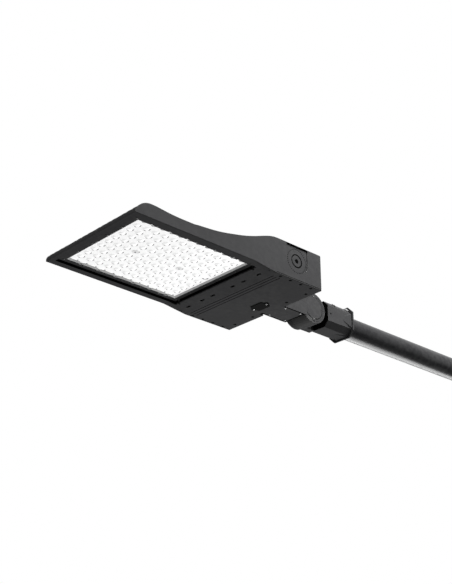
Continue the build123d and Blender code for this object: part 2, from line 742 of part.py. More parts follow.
def window_cut():
    middle = hx((WINDOW_REAR + WINDOW_FRONT) / 2)
    wide = WINDOW_FRONT - WINDOW_REAR
    tall = 2 * WINDOW_HALF
    inset = 2 * WINDOW_BEVEL
    low = Plane((middle, 0, FRAME_Z)) * Rectangle(wide, tall)
    high = Plane((middle, 0, LENS_Z)) * Rectangle(wide - inset, tall - inset)
    clear = head_block(CLEAR_REAR, CLEAR_FRONT, -CLEAR_HALF, CLEAR_HALF, FRAME_Z, LENS_TOP)
    return loft([low, high]) + clear


def lens_frame():
    body = head_block(FRAME_REAR, FRAME_FRONT, -FRAME_HALF, FRAME_HALF, FRAME_Z, FLOOR_BOTTOM)
    body -= head_block(
        LENS_REAR - LENS_FIT,
        LENS_FRONT + LENS_FIT,
        -LENS_HALF - LENS_FIT,
        LENS_HALF + LENS_FIT,
        LENS_Z,
        FLOOR_BOTTOM + 1,
    )
    body -= window_cut()
    for u in TAB_X:
        for side in (-1, 1):
            y0, y1 = sorted((side * (CLEAR_HALF - 1), side * (WINDOW_HALF + TAB_DEEP)))
            body -= head_block(u - TAB_LEN / 2, u + TAB_LEN / 2, y0, y1, FRAME_Z - 1, LENS_Z)
    body += lug_blocks(0)
    for u, y in frame_screw_places():
        body -= screw_hole(u, y, FRAME_SCREW_DIA, FRAME_Z - 1, FLOOR_BOTTOM + 1)
    return body


def screw_up(u, y, dia, head_dia, tall, seat, end):
    shank = rod("z", dia / 2, seat, end, hx(u), y)
    return shank + rod("z", head_dia / 2, seat - tall, seat, hx(u), y)


def frame_screws():
    end = FLOOR_TOP - 1
    return [
        screw_up(u, y, FRAME_SCREW_DIA, FRAME_HEAD_DIA, FRAME_HEAD_TALL, FRAME_Z, end)
        for u, y in frame_screw_places()
    ]


def lens_boss_screws():
    end = FLOOR_TOP - 1
    seat = LENS_Z - 1.2
    return [
        screw_up(u, 0, SCREW_DIA, SCREW_HEAD_DIA, SCREW_HEAD_TALL, seat, end) for u in BOSS_ROWS
    ]


def led_lead():
    x0 = hx(DRIVER_X[1])
    x1 = hx(WIRE_ROW)
    path = FilletPolyline((x0, 0, LEAD_Z), (x1, 0, LEAD_Z), (x1, 0, BOARD_Z), radius=LEAD_BEND)
    section = Plane(origin=(x0, 0, LEAD_Z), z_dir=(-1, 0, 0)) * Circle(LEAD_DIA / 2)
    return sweep(section, path=path)


def grommet(axis, cable, start, end, a, b):
    outer = cable / 2 + GROMMET_WALL
    body = rod(axis, outer, start, end, a, b)
    body += rod(axis, outer + GROMMET_LIP, end, end + GROMMET_LIP, a, b)
    return body - rod(axis, cable / 2, start - 1, end + GROMMET_LIP + 1, a, b)


def lead_grommets():
    front = grommet("x", LEAD_DIA, hx(VENT_REAR), hx(VENT_REAR - BOX_WALL_FRONT), 0, LEAD_Z)
    down = grommet("z", LEAD_DIA, FLOOR_BOTTOM, FLOOR_TOP, hx(WIRE_ROW), 0)
    return [front, down]


def driver():
    bottom = BOX_ROOF_Z - DRIVER_TALL
    body = head_block(*DRIVER_X, *DRIVER_Y, bottom, BOX_ROOF_Z)
    body = chamfer(body.edges().group_by(Axis.Z)[0], 2)
    low = BOX_ROOF_Z - DRIVER_EAR_THICK
    for u, y in driver_ear_places():
        reach = DRIVER_EAR / 2
        body += head_block(u - 8, u + 8, y - reach, y + reach, low, BOX_ROOF_Z)
        body -= screw_hole(u, y, SCREW_DIA, low - 1, BOX_ROOF_Z + 1)
    return body


def driver_screws():
    seat = BOX_ROOF_Z - DRIVER_EAR_THICK
    end = BOX_ROOF_Z + 2.8
    return [
        screw_up(u, y, SCREW_DIA, SCREW_HEAD_DIA, SCREW_HEAD_TALL, seat, end)
        for u, y in driver_ear_places()
    ]


def surge_protector():
    body = head_block(*SURGE_X, *SURGE_Y, BOX_ROOF_Z - SURGE_TALL, BOX_ROOF_Z)
    return fillet(body.edges().filter_by(Axis.Z), 4)


def terminal_block():
    body = head_block(*TERMINAL_X, *TERMINAL_Y, BOX_ROOF_Z - TERMINAL_TALL, BOX_ROOF_Z)
    pitch = (TERMINAL_Y[1] - TERMINAL_Y[0]) / 3
    middle = (TERMINAL_X[0] + TERMINAL_X[1]) / 2
    low = BOX_ROOF_Z - TERMINAL_TALL
    for i in range(3):
        y = TERMINAL_Y[0] + pitch * (i + 0.5)
        body -= rod("z", 3, low - 1, low + 8, hx(middle), y)
    return body


def supply_lead():
    y = (TERMINAL_Y[0] + TERMINAL_Y[1]) / 2
    corner = hx(SUPPLY_RUN_X)
    path = FilletPolyline(
        (hx(TERMINAL_X[0]), y, SUPPLY_Z),
        (corner, y, SUPPLY_Z),
        (corner, 0, SUPPLY_Z),
        (hx(-SUPPLY_END), 0, SUPPLY_Z),
        radius=LEAD_BEND,
    )
    start = Plane(origin=(hx(TERMINAL_X[0]), y, SUPPLY_Z), z_dir=(1, 0, 0))
    return sweep(start * Circle(SUPPLY_DIA / 2), path=path)


def wireway_grommet():
    outer = SUPPLY_DIA / 2 + GROMMET_WALL
    body = rod("x", outer, hx(BOX_WALL_REAR), hx(-NECK_FRONT_WALL), 0, SUPPLY_Z)
    body += rod("x", outer + GROMMET_LIP, hx(BOX_WALL_REAR + GROMMET_LIP), hx(BOX_WALL_REAR), 0, SUPPLY_Z)
    return body - rod("x", SUPPLY_DIA / 2, hx(20), hx(-20), 0, SUPPLY_Z)


def cover_notch(z0, z1):
    notch = NECK_HALF + NOTCH_FIT
    return head_block(-1, NECK_TONGUE + NOTCH_FIT, -notch, notch, z0, z1)


def driver_cover():
    top = DEEP_Z + COVER_THICK
    body = head_block(0, SLOPE_REAR, -HALF_W, HALF_W, DEEP_Z, top)
    edges = body.faces().sort_by(Axis.Z)[0].edges().filter_by(Axis.X)
    body = chamfer(edges, EDGE_CHAMFER)
    body -= cover_notch(DEEP_Z - 1, top + 1)
    half = HALF_W - GROOVE_END
    reach = GROOVE_WIDE / 2
    for u in GROOVE_X:
        body -= head_block(u - reach, u + reach, -half, half, DEEP_Z - 1, DEEP_Z + GROOVE_DEEP)
    sides, rear = cover_boss_places()
    for u, y in sides + rear:
        body -= screw_hole(u, y, SCREW_DIA, DEEP_Z - 1, top + 1)
        body -= screw_hole(u, y, COVER_BORE_DIA, DEEP_Z - 1, DEEP_Z + COVER_BORE_DEEP)
    mid = sum(ACCESS_X) / 2
    half = ACCESS_OPEN_WIDE / 2
    body -= head_block(mid - half, mid + half, -ACCESS_OPEN_HALF, ACCESS_OPEN_HALF, DEEP_Z - 1, top + 1)
    for y in (-ACCESS_HALF, ACCESS_HALF):
        body -= screw_hole(mid, y, SCREW_DIA, DEEP_Z - 1, top + 1)
    return body


def driver_cover_gasket():
    z0 = DEEP_Z + COVER_THICK
    width = BOX_WALL_SIDE - 0.5
    body = head_block(0.5, SLOPE_REAR - 0.5, 0.5 - HALF_W, HALF_W - 0.5, z0, BOX_BOTTOM)
    rear = BOX_WALL_REAR
    front = SLOPE_REAR - COVER_LEDGE
    inner = HALF_W - 0.5 - width
    body -= head_block(rear, front, -inner, inner, z0 - 1, BOX_BOTTOM + 1)
    wide = NECK_HALF + 6
    body += head_block(0.5, NECK_TONGUE + 6, -wide, wide, z0, BOX_BOTTOM)
    body -= cover_notch(z0 - 1, BOX_BOTTOM + 1)
    sides, rear_row = cover_boss_places()
    b = COVER_BOSS_HALF
    for u, y in sides:
        side = 1 if y > 0 else -1
        y0, y1 = sorted((y - side * b, side * inner))
        body += head_block(u - b, u + b, y0, y1, z0, BOX_BOTTOM)
    for u, y in rear_row:
        body += head_block(rear, u + b, y - b, y + b, z0, BOX_BOTTOM)
    for u, y in sides + rear_row:
        body -= screw_hole(u, y, SCREW_DIA, z0 - 1, BOX_BOTTOM + 1)
    return body


def driver_cover_screws():
    seat = DEEP_Z + COVER_BORE_DEEP
    sides, rear = cover_boss_places()
    return [
        screw_up(u, y, SCREW_DIA, SCREW_HEAD_DIA, SCREW_HEAD_TALL, seat, BOSS_TOP - 3.5)
        for u, y in sides + rear
    ]


def access_outline(z0, z1):
    mid = sum(ACCESS_X) / 2
    wide = ACCESS_X[1] - ACCESS_X[0]
    flat = ACCESS_HALF - 2
    plate = extrude(RectangleRounded(wide, 2 * flat, 5), z1 - z0)
    for y in (-ACCESS_HALF, ACCESS_HALF):
        plate += Pos(0, y, (z1 - z0) / 2) * Cylinder(ACCESS_EAR_RADIUS, z1 - z0)
        plate -= Pos(0, y, (z1 - z0) / 2) * Cylinder(SCREW_DIA / 2, 3 * (z1 - z0))
    return Pos(hx(mid), 0, z0) * plate


def access_gasket():
    z1 = DEEP_Z
    body = access_outline(z1 - ACCESS_GASKET, z1)
    mid = sum(ACCESS_X) / 2
    half = ACCESS_OPEN_WIDE / 2
    span = ACCESS_OPEN_HALF
    return body - head_block(mid - half, mid + half, -span, span, z1 - 5, z1 + 1)


def access_plate():
    z1 = DEEP_Z - ACCESS_GASKET
    return access_outline(z1 - ACCESS_THICK, z1)


def access_screws():
    mid = sum(ACCESS_X) / 2
    seat = DEEP_Z - ACCESS_GASKET - ACCESS_THICK
    end = DEEP_Z + COVER_THICK + 3
    return [
        screw_up(mid, side * ACCESS_HALF, SCREW_DIA, SCREW_HEAD_DIA, SCREW_HEAD_TALL, seat, end)
        for side in (-1, 1)
    ]


def nx(rearward):
    return HEAD_X + rearward


def d_shape(radius, flat, y0, y1, ear):
    disc = rod("y", radius, y0, y1, KNUCKLE_X, 0)
    disc -= block(KNUCKLE_X - 2 * radius, KNUCKLE_X - flat, y0 - 1, y1 + 1, -radius, radius)
    for side in (-1, 1):
        disc += rod("y", ear, y0, y1, KNUCKLE_X, side * CAP_SCREW_OFFSET)
    return disc


def neck_screw_places():
    return [(x, side * NECK_SCREW_Y) for x in NECK_SCREW_X for side in (-1, 1)]


def neck_recess(inset, z0, z1):
    x0 = NECK_LIP - NECK_TONGUE + inset
    half = NECK_HALF - NECK_LIP - inset
    return block(nx(x0), nx(NECK_RECESS_REAR - inset), -half, half, z0, z1)


def knuckle_neck():
    far_y = EAR_INNER_Y - RUN_GAP
    body = block(nx(0), nx(NECK_LEN - CAP_FLAT), -NECK_HALF, NECK_HALF, -NECK_Z, NECK_Z)
    body += block(nx(-NECK_TONGUE), nx(0), -NECK_HALF, NECK_HALF, -NECK_Z, NECK_TONGUE_TOP)
    wide = NECK_HALF + 1
    tall = EAR_RADIUS + 5
    body -= block(nx(NECK_FAR_END), KNUCKLE_X + 1, far_y, wide, -tall, tall)
    body -= block(nx(NECK_FAR_TOP_END), KNUCKLE_X + 1, far_y, wide, 0, tall)
    body -= rod("y", EAR_RADIUS + 0.8, far_y, wide, KNUCKLE_X, 0)
    body += rod("y", DRUM_RADIUS, DRUM_NEAR_Y, far_y, KNUCKLE_X, 0)
    hollow = NECK_FRONT_WALL + NECK_CAVITY_LEN
    half = NECK_CAVITY_HALF
    body -= block(nx(NECK_FRONT_WALL), nx(hollow), -half, half, -NECK_Z, NECK_CAVITY_TOP)
    recess_top = NECK_COVER_THICK + NECK_GASKET_THICK - NECK_Z
    body -= neck_recess(0, -NECK_Z - 1, recess_top)
    for x, y in neck_screw_places():
        body -= rod("z", SCREW_DIA / 2, recess_top - 1, recess_top + 8, nx(x), y)
    cap_in = CAP_THICK - NECK_HALF
    body -= d_shape(CAP_RADIUS + 0.3, CAP_FLAT, -NECK_HALF - 1, cap_in, CAP_EAR_RADIUS + 0.3)
    body -= rod("y", COUNTERBORE_RADIUS, cap_in - 1, drum_floor_y(), KNUCKLE_X, 0)
    body -= rod("y", BOLT_DIA / 2 + BORE_RUN, DRUM_NEAR_Y, far_y + 1, KNUCKLE_X, 0)
    for side in (-1, 1):
        z = side * CAP_SCREW_OFFSET
        body -= rod("y", SCREW_DIA / 2, cap_in - 1, cap_in + 8, KNUCKLE_X, z)
    for y, z in neck_bolt_places():
        body -= rod("x", NECK_BOLT_DIA / 2, nx(-1), nx(20), y, z)
    outer = SUPPLY_DIA / 2 + GROMMET_WALL
    body -= rod("x", outer, nx(-1), nx(NECK_FRONT_WALL), 0, SUPPLY_Z)
    return body


def neck_bolts():
    inner = hx(BOX_WALL_REAR)
    bolts = []
    for y, z in neck_bolt_places():
        shank = rod("x", NECK_BOLT_DIA / 2, inner, nx(19), y, z)
        head = rod("x", 0.8 * NECK_BOLT_DIA, inner - 5, inner, y, z)
        bolts.append(shank + head)
    return bolts


def neck_cover():
    z0 = -NECK_Z
    z1 = z0 + NECK_COVER_THICK
    body = neck_recess(NECK_GROOVE, z0, z1)
    for x, y in neck_screw_places():
        body -= rod("z", SCREW_DIA / 2, z0 - 1, z1 + 1, nx(x), y)
    return body


def neck_cover_gasket():
    z0 = NECK_COVER_THICK - NECK_Z
    z1 = z0 + NECK_GASKET_THICK
    body = neck_recess(0, z0, z1)
    hollow = NECK_FRONT_WALL + NECK_CAVITY_LEN
    half = NECK_CAVITY_HALF
    body -= block(nx(NECK_FRONT_WALL), nx(hollow), -half, half, z0 - 1, z1 + 1)
    for x, y in neck_screw_places():
        body -= rod("z", SCREW_DIA / 2, z0 - 1, z1 + 1, nx(x), y)
    return body


def neck_cover_screws():
    end = NECK_COVER_THICK + NECK_GASKET_THICK - NECK_Z + 7.5
    screws = []
    for x, y in neck_screw_places():
        shank = rod("z", SCREW_DIA / 2, -NECK_Z, end, nx(x), y)
        head = rod("z", SCREW_HEAD_DIA / 2, -NECK_Z - SCREW_HEAD_TALL, -NECK_Z, nx(x), y)
        screws.append(shank + head)
    return screws


def knuckle_cap():
    y0 = -NECK_HALF
    body = d_shape(CAP_RADIUS, CAP_FLAT - 0.3, y0, y0 + CAP_THICK, CAP_EAR_RADIUS)
    for side in (-1, 1):
        z = side * CAP_SCREW_OFFSET
        body -= rod("y", SCREW_DIA / 2, y0 - 1, y0 + CAP_THICK + 1, KNUCKLE_X, z)
    return body


def knuckle_cap_screws():
    y0 = -NECK_HALF
    screws = []
    for side in (-1, 1):
        z = side * CAP_SCREW_OFFSET
        shank = rod("y", SCREW_DIA / 2, y0, y0 + CAP_THICK + 7.5, KNUCKLE_X, z)
        head = rod("y", SCREW_HEAD_DIA / 2, y0 - SCREW_HEAD_TALL, y0, KNUCKLE_X, z)
        screws.append(shank + head)
    return screws


def pivot_plugs():
    plugs = []
    for side in (-1, 1):
        face = side * (HALF_W - PIVOT_DEPTH)
        back = face - side * PLUG_LONG
        y0, y1 = sorted((face, back))
        body = rod("y", PLUG_RADIUS, y0, y1, hx(PIVOT_X), PIVOT_Z)
        y0, y1 = sorted((face - side * PLUG_RING_DEEP, back))
        body += rod("y", PLUG_SEAT_RADIUS, y0, y1, hx(PIVOT_X), PIVOT_Z)
        rim = [e for e in body.edges() if abs(e.center().Y - face) < 0.01]
        body = chamfer(rim, PLUG_EDGE)
        y0, y1 = sorted((face + side, face - side * 3.5))
        body -= hex_rod_y(PLUG_HEX, y0, y1, hx(PIVOT_X), PIVOT_Z)
        plugs.append(body)
    return plugs


def slot_seals():
    seals = []
    for side in (-1, 1):
        floor = side * (HALF_W - PIVOT_DEPTH)
        y0, y1 = sorted((floor, floor + side * SEAL_DEPTH))
        reach = PIVOT_RADIUS
        u0 = PIVOT_X - reach
        u1 = PIVOT_X + reach
        seals.append(head_block(u0, u1, y0, y1, PLATEAU_Z - SEAL_TALL, PLATEAU_Z))
    return seals


NODES = {
    "arm_tube": arm_tube,
    "slip_fitter": slip_fitter,
    "set_bolts": lambda: [set_bolt(x, side) for x, side in set_places()],
    "knuckle_bolt": knuckle_bolt,
    "knuckle_washers": knuckle_washers,
    "knuckle_nut": knuckle_nut,
    "housing": housing,
    "led_board": led_board,
    "led_chips": led_chips,
    "lens_gasket": lens_gasket,
    "lens_plate": lens_plate,
    "lens_frame": lens_frame,
    "frame_screws": frame_screws,
    "lens_boss_screws": lens_boss_screws,
    "led_lead": led_lead,
    "lead_grommets": lead_grommets,
    "driver": driver,
    "driver_screws": driver_screws,
    "surge_protector": surge_protector,
    "terminal_block": terminal_block,
    "supply_lead": supply_lead,
    "wireway_grommet": wireway_grommet,
    "driver_cover": driver_cover,
    "driver_cover_gasket": driver_cover_gasket,
    "driver_cover_screws": driver_cover_screws,
    "access_plate": access_plate,
    "access_gasket": access_gasket,
    "access_screws": access_screws,
    "knuckle_neck": knuckle_neck,
    "neck_bolts": neck_bolts,
    "neck_cover": neck_cover,
    "neck_cover_gasket": neck_cover_gasket,
    "neck_cover_screws": neck_cover_screws,
    "knuckle_cap": knuckle_cap,
    "knuckle_cap_screws": knuckle_cap_screws,
    "pivot_plugs": pivot_plugs,
    "slot_seals": slot_seals,
}

os.makedirs("parts", exist_ok=True)
for name, make in NODES.items():
    made = make()
    solids = []
    for item in made if isinstance(made, list) else [made]:
        solids += list(item.solids())
    shape = solids[0] if len(solids) == 1 else Compound(children=solids)
    export_step(shape, f"parts/{name}.step")
    print(name, len(solids), round(sum(s.volume for s in solids)))
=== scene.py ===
import json
from math import cos, pi, radians, sin

import bmesh
import bpy
from mathutils import Matrix, Vector


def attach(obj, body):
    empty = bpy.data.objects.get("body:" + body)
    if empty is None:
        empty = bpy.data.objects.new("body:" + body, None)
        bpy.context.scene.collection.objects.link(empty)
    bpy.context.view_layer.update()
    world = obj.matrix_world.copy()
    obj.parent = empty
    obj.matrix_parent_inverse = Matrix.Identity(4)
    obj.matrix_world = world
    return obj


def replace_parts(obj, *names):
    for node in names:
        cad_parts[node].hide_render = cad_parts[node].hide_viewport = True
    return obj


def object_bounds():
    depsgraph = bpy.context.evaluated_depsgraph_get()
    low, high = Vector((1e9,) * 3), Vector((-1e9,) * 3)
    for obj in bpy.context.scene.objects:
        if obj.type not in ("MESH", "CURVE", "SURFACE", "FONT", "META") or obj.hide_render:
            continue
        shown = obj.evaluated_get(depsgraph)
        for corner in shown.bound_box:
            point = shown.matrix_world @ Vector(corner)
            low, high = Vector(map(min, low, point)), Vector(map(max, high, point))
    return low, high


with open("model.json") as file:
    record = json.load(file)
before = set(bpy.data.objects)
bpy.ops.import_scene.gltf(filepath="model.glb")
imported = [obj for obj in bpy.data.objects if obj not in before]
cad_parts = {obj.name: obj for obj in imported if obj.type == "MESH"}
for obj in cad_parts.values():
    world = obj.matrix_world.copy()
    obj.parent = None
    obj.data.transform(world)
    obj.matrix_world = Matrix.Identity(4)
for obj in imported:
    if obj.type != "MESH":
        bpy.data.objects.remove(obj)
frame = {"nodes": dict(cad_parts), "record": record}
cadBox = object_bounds()
nodes = frame["nodes"]
print("frame loaded:", len(nodes), "nodes")


def newMaterial(name):
    material = bpy.data.materials.new(name)
    material.use_nodes = True
    tree = material.node_tree
    tree.nodes.clear()
    output = tree.nodes.new("ShaderNodeOutputMaterial")
    shader = tree.nodes.new("ShaderNodeBsdfPrincipled")
    tree.links.new(shader.outputs["BSDF"], output.inputs["Surface"])
    return material, tree, shader


def setSocket(tree, socket, value):
    if isinstance(value, bpy.types.NodeSocket):
        tree.links.new(value, socket)
    else:
        socket.default_value = value


def addNode(tree, kind, settings=None, **sockets):
    node = tree.nodes.new("ShaderNode" + kind)
    for key, value in (settings or {}).items():
        setattr(node, key, value)
    for key, value in sockets.items():
        setSocket(tree, node.inputs[key.replace("_", " ")], value)
    return node


# sockets 0, 6 and 7 of a colour mix are its factor and its two colours
def mixColors(tree, factor, first, second):
    node = addNode(tree, "Mix", {"data_type": "RGBA", "blend_type": "MIX"})
    for index, value in ((0, factor), (6, first), (7, second)):
        setSocket(tree, node.inputs[index], value)
    return node.outputs[2]


def mathNode(tree, operation, *values):
    node = addNode(tree, "Math", {"operation": operation})
    for index, value in enumerate(values):
        setSocket(tree, node.inputs[index], value)
    return node.outputs[0]


def remap(tree, value, low, high, newLow=0.0, newHigh=1.0):
    node = addNode(tree, "MapRange", Value=value)
    for label, number in (("From Min", low), ("From Max", high), ("To Min", newLow), ("To Max", newHigh)):
        setSocket(tree, node.inputs[label], number)
    return node.outputs["Result"]


def newGroup(name, inputs, outputs):
    group = bpy.data.node_groups.new(name, "ShaderNodeTree")
    for label, kind, value in inputs:
        socket = group.interface.new_socket(label, in_out="INPUT", socket_type="NodeSocket" + kind)
        socket.default_value = value
    for label, kind in outputs:
        group.interface.new_socket(label, in_out="OUTPUT", socket_type="NodeSocket" + kind)
    return group, group.nodes.new("NodeGroupInput").outputs, group.nodes.new("NodeGroupOutput").inputs


def objectPlace(tree):
    return addNode(tree, "TexCoord").outputs["Object"]


def noiseValue(tree, place, scale, detail):
    return addNode(tree, "TexNoise", Vector=place, Scale=scale, Detail=detail).outputs["Fac"]


# how fine each noise is, and where a step from noise, edge or direction to tone starts and ends
powderSteps = dict(grainDetail=2.0, patchDetail=4.0, tone=(0.35, 0.65), gloss=(0.3, 0.7, -1.0, 1.0))
wearSteps = dict(detail=5.0, edge=(0.53, 0.62), broken=(0.35, 0.6))
opticSteps = dict(
    leastRadius=0.0001, flanks=(0.25, 0.65, 1.0, 0.0), bow=(-0.9, -0.3, 0.7, 1.0), paintedLight=(0.25, 0.65)
)


# sprayed powder paint: fine pebble, broad soft patches of tone and of gloss
def makePowderSkin():
    group, given, result = newGroup(
        "powderSkin",
        [
            ("Color", "Color", (0.1, 0.1, 0.1, 1)),
            ("Patch Color", "Color", (0.12, 0.12, 0.12, 1)),
            ("Grain Scale", "Float", 900.0),
            ("Patch Scale", "Float", 9.0),
            ("Roughness", "Float", 0.5),
            ("Roughness Spread", "Float", 0.06),
        ],
        [("Color", "Color"), ("Roughness", "Float"), ("Height", "Float")],
    )
    place = objectPlace(group)
    grain = noiseValue(group, place, given["Grain Scale"], powderSteps["grainDetail"])
    patch = noiseValue(group, place, given["Patch Scale"], powderSteps["patchDetail"])
    mask = remap(group, patch, *powderSteps["tone"])
    color = mixColors(group, mask, given["Color"], given["Patch Color"])
    gloss = remap(group, patch, *powderSteps["gloss"])
    spread = mathNode(group, "MULTIPLY", gloss, given["Roughness Spread"])
    group.links.new(color, result["Color"])
    group.links.new(mathNode(group, "ADD", given["Roughness"], spread), result["Roughness"])
    group.links.new(grain, result["Height"])
    return group


# a lighter rub along sharp outer edges, broken up by noise
def makeEdgeWear():
    group, given, result = newGroup(
        "edgeWear",
        [
            ("Color", "Color", (0.1, 0.1, 0.1, 1)),
            ("Edge Color", "Color", (0.3, 0.3, 0.3, 1)),
            ("Amount", "Float", 0.4),
            ("Scale", "Float", 60.0),
        ],
        [("Color", "Color")],
    )
    point = addNode(group, "NewGeometry").outputs["Pointiness"]
    rough = noiseValue(group, objectPlace(group), given["Scale"], wearSteps["detail"])
    edge = remap(group, point, *wearSteps["edge"])
    broken = mathNode(group, "MULTIPLY", edge, remap(group, rough, *wearSteps["broken"]))
    mask = mathNode(group, "MULTIPLY", broken, given["Amount"])
    group.links.new(mixColors(group, mask, given["Color"], given["Edge Color"]), result["Color"])
    return group


# 1 inside a box, such as the bevel round the lens window
def makeBoxMask():
    group, given, result = newGroup(
        "boxMask",
        [("Low", "Vector", (0, 0, 0)), ("High", "Vector", (1, 1, 1))],
        [("Mask", "Float")],
    )
    place = addNode(group, "SeparateXYZ", Vector=objectPlace(group))
    low = addNode(group, "SeparateXYZ", Vector=given["Low"])
    high = addNode(group, "SeparateXYZ", Vector=given["High"])
    mask = 1.0
    for axis in "XYZ":
        above = mathNode(group, "GREATER_THAN", place.outputs[axis], low.outputs[axis])
        below = mathNode(group, "LESS_THAN", place.outputs[axis], high.outputs[axis])
        mask = mathNode(group, "MULTIPLY", mathNode(group, "MULTIPLY", above, below), mask)
    group.links.new(mask, result["Mask"])
    return group


# 1 inside an upright cylinder, such as a boss on the lens
def makeSpotMask():
    group, given, result = newGroup(
        "spotMask",
        [("Centre", "Vector", (0, 0, 0)), ("Radius", "Float", 0.01), ("Fade", "Float", 0.001)],
        [("Mask", "Float")],
    )
    away = addNode(group, "VectorMath", {"operation": "SUBTRACT"})
    setSocket(group, away.inputs[0], objectPlace(group))
    setSocket(group, away.inputs[1], given["Centre"])
    flat = addNode(group, "VectorMath", {"operation": "MULTIPLY"})
    setSocket(group, flat.inputs[0], away.outputs["Vector"])
    setSocket(group, flat.inputs[1], (1, 1, 0))
    length = addNode(group, "VectorMath", {"operation": "LENGTH"})
    setSocket(group, length.inputs[0], flat.outputs["Vector"])
    outer = mathNode(group, "ADD", given["Radius"], given["Fade"])
    group.links.new(remap(group, length.outputs["Value"], given["Radius"], outer, 1.0, 0.0), result["Mask"])
    return group


# painted shade on the optics: a dark ring on every dome, open on the side that looks forward and near,
# and painted light: the same ring on that side alone, for a lighter tone
def makeOpticShadeMask():
    group, given, result = newGroup(
        "opticShadeMask",
        [
            ("First", "Vector", (0, 0, 0)),
            ("Pitch", "Vector", (0.026, 0.0256, 0)),
            ("Inner", "Float", 0.003),
            ("Outer", "Float", 0.0085),
            ("Fade", "Float", 0.0015),
            ("Clear", "Vector", (-0.7, -0.7, 0)),
        ],
        [("Mask", "Float"), ("Lift", "Float")],
    )
    place = addNode(group, "SeparateXYZ", Vector=objectPlace(group))
    first = addNode(group, "SeparateXYZ", Vector=given["First"])
    pitch = addNode(group, "SeparateXYZ", Vector=given["Pitch"])
    local = addNode(group, "CombineXYZ")
    for axis in "XY":
        half = mathNode(group, "MULTIPLY", pitch.outputs[axis], 0.5)
        below = mathNode(group, "MULTIPLY", half, -1.0)
        away = mathNode(group, "SUBTRACT", place.outputs[axis], first.outputs[axis])
        group.links.new(mathNode(group, "WRAP", away, half, below), local.inputs[axis])
    length = addNode(group, "VectorMath", {"operation": "LENGTH"})
    group.links.new(local.outputs["Vector"], length.inputs[0])
    radius = length.outputs["Value"]
    dot = addNode(group, "VectorMath", {"operation": "DOT_PRODUCT"})
    group.links.new(local.outputs["Vector"], dot.inputs[0])
    group.links.new(given["Clear"], dot.inputs[1])
    divisor = mathNode(group, "MAXIMUM", radius, opticSteps["leastRadius"])
    facing = mathNode(group, "DIVIDE", dot.outputs["Value"], divisor)
    innerEnd = mathNode(group, "ADD", given["Inner"], given["Fade"])
    outerStart = mathNode(group, "SUBTRACT", given["Outer"], given["Fade"])
    inner = remap(group, radius, given["Inner"], innerEnd)
    outer = remap(group, radius, outerStart, given["Outer"], 1.0, 0.0)
    ring = mathNode(group, "MULTIPLY", inner, outer)
    flanks = mathNode(group, "MULTIPLY", ring, remap(group, facing, *opticSteps["flanks"]))
    bow = remap(group, facing, *opticSteps["bow"])
    group.links.new(mathNode(group, "MULTIPLY", flanks, bow), result["Mask"])
    paintedLight = remap(group, facing, *opticSteps["paintedLight"])
    group.links.new(mathNode(group, "MULTIPLY", ring, paintedLight), result["Lift"])
    return group


powderSkin = makePowderSkin()
edgeWear = makeEdgeWear()
boxMask = makeBoxMask()
spotMask = makeSpotMask()
opticShadeMask = makeOpticShadeMask()


def addGroup(tree, group, **sockets):
    return addNode(tree, "Group", {"node_tree": group}, **sockets)


def paintMaterial(name, look):
    material, tree, shader = newMaterial(name)
    skin = addGroup(
        tree,
        powderSkin,
        Color=(*look["color"], 1),
        Patch_Color=(*look["patch"], 1),
        Grain_Scale=look["grain"],
        Patch_Scale=look["patchScale"],
        Roughness=look["roughness"],
        Roughness_Spread=look["spread"],
    )
    wear = addGroup(
        tree,
        edgeWear,
        Color=skin.outputs["Color"],
        Edge_Color=(*look["edge"], 1),
        Amount=look["wear"],
        Scale=look["wearScale"],
    )
    color = wear.outputs["Color"]
    for mark in look.get("boxes", ()):
        mask = addGroup(tree, boxMask, Low=mark["low"], High=mark["high"])
        color = mixColors(tree, mask.outputs["Mask"], color, (*mark["color"], 1))
    # painted shade and painted light on the optics
    for mark in look.get("optics", ()):
        mask = addGroup(
            tree, opticShadeMask, First=mark["first"], Pitch=mark["pitch"], Inner=mark["inner"],
            Outer=mark["outer"], Fade=mark["fade"], Clear=mark["clear"],
        )
        color = mixColors(tree, mask.outputs["Mask"], color, (*mark["color"], 1))
        color = mixColors(tree, mask.outputs["Lift"], color, (*mark["paintedLight"], 1))
    for mark in look.get("spots", ()):
        mask = addGroup(tree, spotMask, Centre=mark["centre"], Radius=mark["radius"], Fade=mark["fade"])
        color = mixColors(tree, mask.outputs["Mask"], color, (*mark["color"], 1))
    tree.links.new(color, shader.inputs["Base Color"])
    tree.links.new(skin.outputs["Roughness"], shader.inputs["Roughness"])
    if look["bump"] > 0:
        bump = addNode(
            tree, "Bump", Strength=look["bump"], Distance=look["depth"], Height=skin.outputs["Height"]
        )
        tree.links.new(bump.outputs["Normal"], shader.inputs["Normal"])
    shader.inputs["Metallic"].default_value = look.get("metal", 0.0)
    shader.inputs["Specular IOR Level"].default_value = look["gloss"]
    # a glow in the colour: painted light, used by the lens
    if look.get("glow"):
        tree.links.new(color, shader.inputs["Emission Color"])
        shader.inputs["Emission Strength"].default_value = look["glow"]
    return material


mm = 0.001
headRear = -740.0  # rear face of the head along X, in mm


# a point on the head: mm forward of its rear face, to the far side, and up
def headPoint(forward, y, z):
    return Vector((headRear - forward, y, z)) * mm


# a tone painted inside a box: from rear to front, near to far and low to top
def paintMark(color, rear, front, near, far, low, top):
    return dict(low=headPoint(front, near, low), high=headPoint(rear, far, top), color=color)


bodyLook = dict(
    color=(0.039, 0.039, 0.04), patch=(0.043, 0.043, 0.044), edge=(0.07, 0.07, 0.07),
    grain=900.0, patchScale=7.0, roughness=0.45, spread=0.04,
    wear=0.3, wearScale=90.0, bump=0.12, depth=0.0002, gloss=0.0,
)
